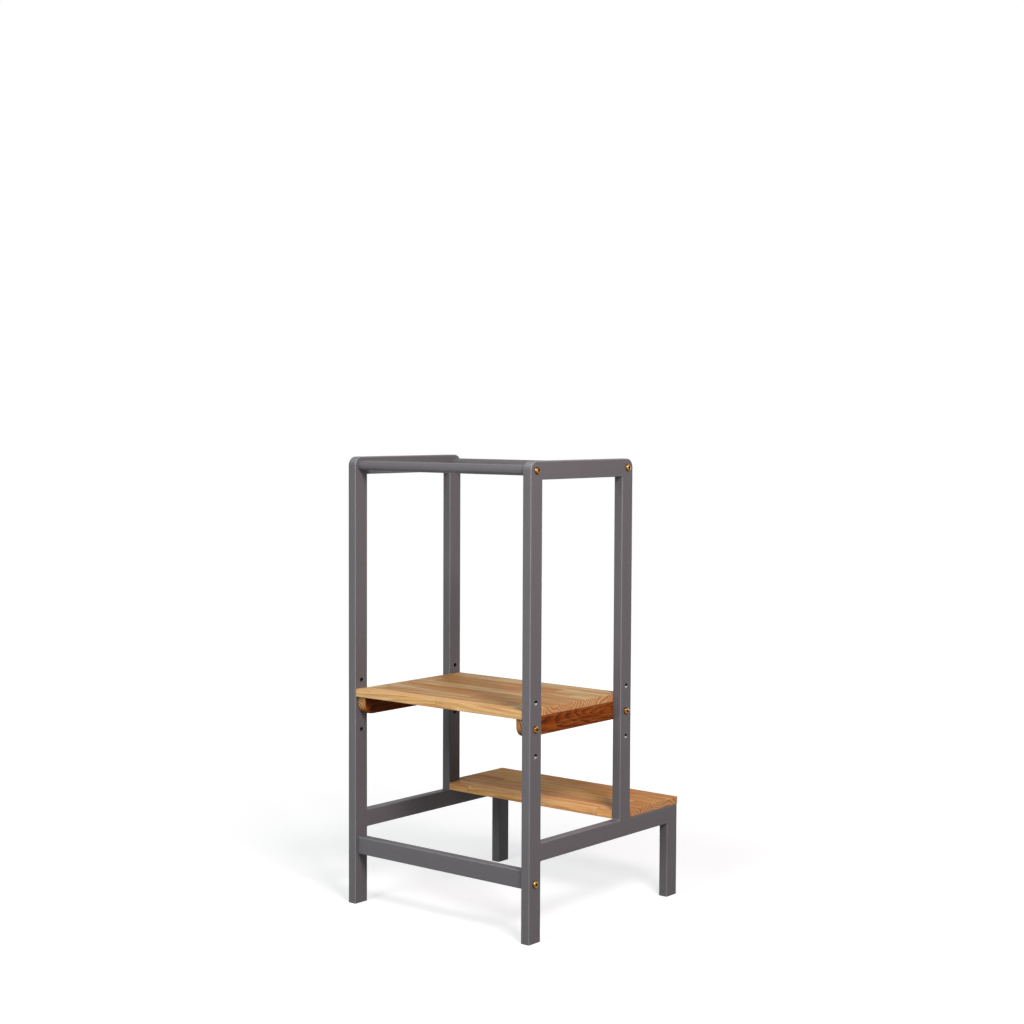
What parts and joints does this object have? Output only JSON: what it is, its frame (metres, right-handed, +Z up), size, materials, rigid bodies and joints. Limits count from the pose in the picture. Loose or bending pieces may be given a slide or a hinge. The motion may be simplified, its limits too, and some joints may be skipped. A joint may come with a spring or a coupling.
{
  "type": "toddler kitchen helper stool",
  "caption": "Standing tower that lifts a toddler to worktop height: two slim wooden side frames joined by round bars, a bolted platform set by rows of holes, and a fixed step behind.",
  "frame": {"origin": "on the floor under the middle of the footprint", "axes": "+X to the right of someone who faces the worktop side from behind the step, -Y towards the worktop, +Y towards the step, +Z up"},
  "size_m": [0.4768, 0.485, 0.9],
  "materials": {
    "frame_paint": "satin dark grey lacquer on wood",
    "oiled_panel": "oiled edge-glued hardwood",
    "cleat_wood": "oiled hardwood with a strong grain",
    "bolt_brass": "satin brass",
    "insert_zinc": "zinc plated",
    "dowel_beech": "bare turned beech"
  },
  "bodies": {
    "root": {"bar_bolts": "bolt_brass", "bar_inserts": "insert_zinc", "board_bolts": "bolt_brass", "board_dowels": "dowel_beech", "board_inserts": "insert_zinc", "cleat_inserts": "insert_zinc", "front_bar": "frame_paint", "front_board": "frame_paint", "left_cleat": "cleat_wood", "left_frame_dowels": "dowel_beech", "left_front_post": "frame_paint", "left_lower_rail": "frame_paint", "left_rear_post": "frame_paint", "left_step_leg": "frame_paint", "left_top_rail": "frame_paint", "platform_bolts": "bolt_brass", "platform_panel": "oiled_panel", "platform_screws": "insert_zinc", "rear_bar": "frame_paint", "right_cleat": "cleat_wood", "right_frame_dowels": "dowel_beech", "right_front_post": "frame_paint", "right_lower_rail": "frame_paint", "right_rear_post": "frame_paint", "right_step_leg": "frame_paint", "right_top_rail": "frame_paint", "step_panel": "oiled_panel", "step_screws": "insert_zinc"}
  },
  "joints": []
}
